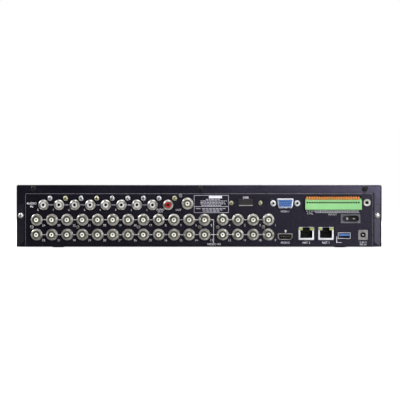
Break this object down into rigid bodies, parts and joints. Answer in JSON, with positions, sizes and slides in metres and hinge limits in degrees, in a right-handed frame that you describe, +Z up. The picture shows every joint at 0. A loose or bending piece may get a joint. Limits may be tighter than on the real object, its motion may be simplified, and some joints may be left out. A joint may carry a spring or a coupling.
{
  "type": "video recorder",
  "caption": "Low black steel video recorder with rear coaxial inputs, phono jacks, pluggable terminal block, network and monitor sockets, rocker switch, side fan and front keys.",
  "frame": {"origin": "bottom centre of the bounding box, on the plane that the rubber feet stand on", "axes": "+Z up; the rear panel with the connectors faces -Y, the front fascia faces +Y; +X is to the right of someone who faces the rear panel"},
  "size_m": [0.38, 0.357, 0.0663],
  "materials": {
    "white_plastic": "moulded",
    "red_plastic": "moulded",
    "dark_plastic": "moulded, fine grain",
    "black_paint": "fine textured black powder coat",
    "nickel": "nickel plated, slightly worn",
    "black_screw": "black oxide",
    "black_plastic": "moulded",
    "zinc_steel": "zinc plated",
    "red_cable": "flat data cable",
    "rubber": "matt",
    "circuit_board": "green solder mask on glass-fibre laminate",
    "grey_cable": "flat ribbon cable",
    "aluminium": "cast or extruded, satin",
    "orange_plastic": "moulded",
    "window_plastic": "smoked, polished",
    "green_plastic": "moulded"
  },
  "bodies": {
    "recorder_case": {"audio_input_jacks": "white_plastic", "audio_output_jack": "red_plastic", "base_chassis": "black_paint", "clock_battery": "nickel", "cover_screw_left": "black_screw", "cover_screw_middle": "black_screw", "cover_screw_right": "black_screw", "dc_inlet": "black_plastic", "digital_monitor_port": "zinc_steel", "drive_1_data_cable": "red_cable", "drive_2_data_cable": "red_cable", "drive_cage": "zinc_steel", "dsub_monitor_port": "zinc_steel", "external_drive_port": "dark_plastic", "fan_frame": "black_plastic", "foot_front_left": "rubber", "foot_front_right": "rubber", "foot_rear_left": "rubber", "foot_rear_right": "rubber", "front_fascia": "dark_plastic", "front_key_board": "circuit_board", "front_ribbon_cable": "grey_cable", "front_usb_ports": "zinc_steel", "hard_drive_1": "aluminium", "hard_drive_2": "aluminium", "main_board": "circuit_board", "monitor_output_bnc": "nickel", "network_port_1": "zinc_steel", "network_port_2": "zinc_steel", "power_switch_bezel": "black_plastic", "processor_heatsink": "aluminium", "rear_panel": "black_paint", "rear_usb_port": "zinc_steel", "remote_jack": "nickel", "side_screw_left": "zinc_steel", "side_screw_right": "zinc_steel", "status_window": "window_plastic", "terminal_header": "green_plastic", "top_cover": "black_paint", "upper_board": "circuit_board", "video_input_block_1": "nickel", "video_input_block_2": "nickel", "video_input_block_3": "nickel", "video_input_block_4": "nickel"},
    "terminal_plug": {"terminal_plug": "green_plastic"},
    "release_levers": {"release_levers": "orange_plastic"},
    "power_rocker": {"power_rocker": "black_plastic"},
    "fan_rotor": {"fan_rotor": "black_plastic"},
    "power_button": {"power_button": "dark_plastic"},
    "up_key": {"up_key": "dark_plastic"},
    "down_key": {"down_key": "dark_plastic"},
    "left_key": {"left_key": "dark_plastic"},
    "right_key": {"right_key": "dark_plastic"},
    "enter_key": {"enter_key": "dark_plastic"},
    "record_key": {"record_key": "dark_plastic"},
    "play_key": {"play_key": "dark_plastic"},
    "menu_key": {"menu_key": "dark_plastic"},
    "back_key": {"back_key": "dark_plastic"}
  },
  "joints": [
    {"name": "rocker_tilt", "type": "hinge", "parent": "recorder_case", "child": "power_rocker", "pos_m": [0.1575, -0.164, 0.0312], "axis": [0, 0, 1], "range_deg": [0, 20]},
    {"name": "terminal_plug_pull", "type": "slide", "parent": "recorder_case", "child": "terminal_plug", "axis": [0, -1, 0], "range_m": [0, 0.012]},
    {"name": "release_levers_press", "type": "slide", "parent": "terminal_plug", "child": "release_levers", "axis": [0, 1, 0], "range_m": [0, 0.0012], "stiffness_N_per_m": 2500},
    {"name": "fan_spin", "type": "hinge", "parent": "recorder_case", "child": "fan_rotor", "pos_m": [0.1799, -0.04, 0.0255], "axis": [1, 0, 0], "continuous": true},
    {"name": "power_button_press", "type": "slide", "parent": "recorder_case", "child": "power_button", "axis": [0, -1, 0], "range_m": [0, 0.0008], "stiffness_N_per_m": 1500},
    {"name": "up_key_press", "type": "slide", "parent": "recorder_case", "child": "up_key", "axis": [0, -1, 0], "range_m": [0, 0.0008], "stiffness_N_per_m": 1200},
    {"name": "down_key_press", "type": "slide", "parent": "recorder_case", "child": "down_key", "axis": [0, -1, 0], "range_m": [0, 0.0008], "stiffness_N_per_m": 1200},
    {"name": "left_key_press", "type": "slide", "parent": "recorder_case", "child": "left_key", "axis": [0, -1, 0], "range_m": [0, 0.0008], "stiffness_N_per_m": 1200},
    {"name": "right_key_press", "type": "slide", "parent": "recorder_case", "child": "right_key", "axis": [0, -1, 0], "range_m": [0, 0.0008], "stiffness_N_per_m": 1200},
    {"name": "enter_key_press", "type": "slide", "parent": "recorder_case", "child": "enter_key", "axis": [0, -1, 0], "range_m": [0, 0.0008], "stiffness_N_per_m": 1200},
    {"name": "record_key_press", "type": "slide", "parent": "recorder_case", "child": "record_key", "axis": [0, -1, 0], "range_m": [0, 0.0008], "stiffness_N_per_m": 1200},
    {"name": "play_key_press", "type": "slide", "parent": "recorder_case", "child": "play_key", "axis": [0, -1, 0], "range_m": [0, 0.0008], "stiffness_N_per_m": 1200},
    {"name": "menu_key_press", "type": "slide", "parent": "recorder_case", "child": "menu_key", "axis": [0, -1, 0], "range_m": [0, 0.0008], "stiffness_N_per_m": 1200},
    {"name": "back_key_press", "type": "slide", "parent": "recorder_case", "child": "back_key", "axis": [0, -1, 0], "range_m": [0, 0.0008], "stiffness_N_per_m": 1200}
  ]
}
